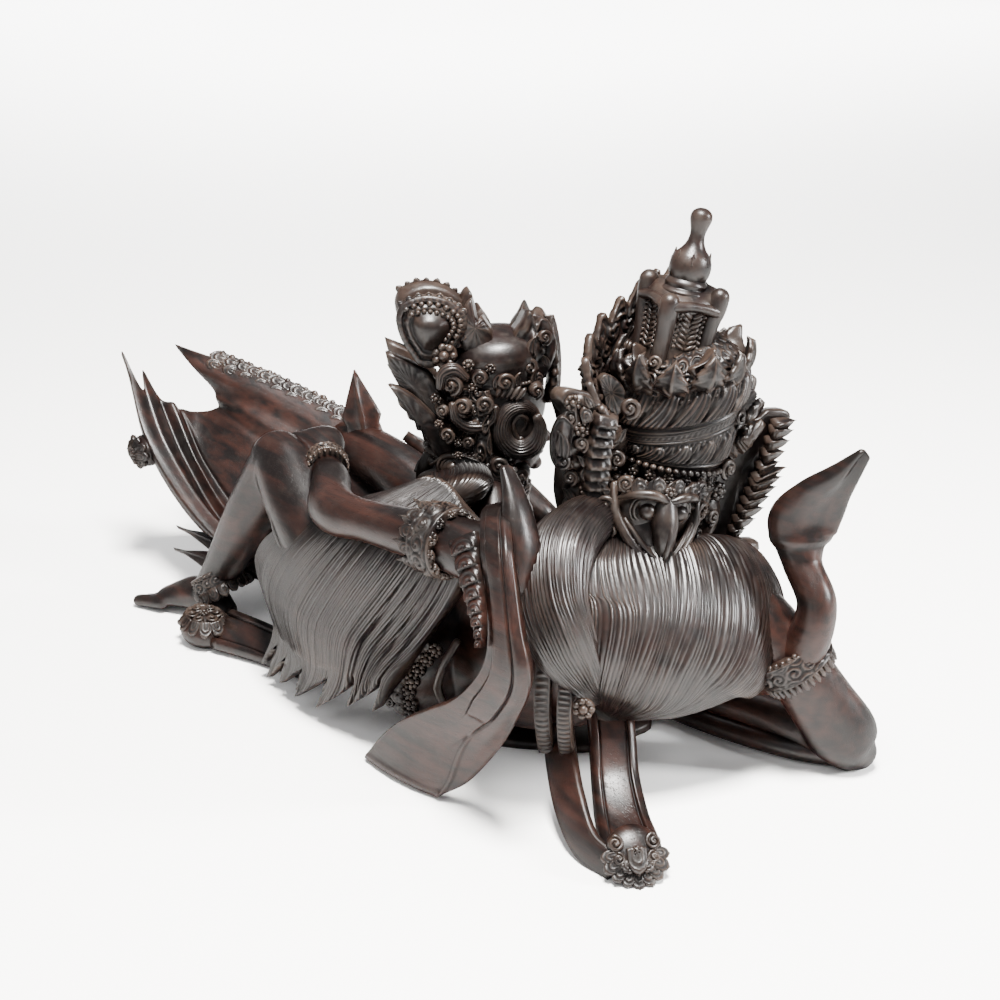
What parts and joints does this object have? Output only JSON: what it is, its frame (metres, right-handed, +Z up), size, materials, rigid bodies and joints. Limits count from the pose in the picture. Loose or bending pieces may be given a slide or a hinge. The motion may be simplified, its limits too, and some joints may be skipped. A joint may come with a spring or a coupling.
{
  "type": "carved figure group",
  "caption": "Dark hardwood carving of a reclining crowned man with a seated crowned woman in his lap, with flowing hair, scarves and a winged cloth tail.",
  "frame": {"origin": "a point of the flat underside, below the man's hip", "axes": "+X from the feet to the heads along the carving's length, +Y to the side that the woman faces, +Z up"},
  "size_m": [0.3622, 0.1659, 0.2008],
  "materials": {
    "ebony": "oiled and polished dark hardwood, satin"
  },
  "bodies": {
    "root": {"rama_and_sita": "ebony"}
  },
  "joints": []
}
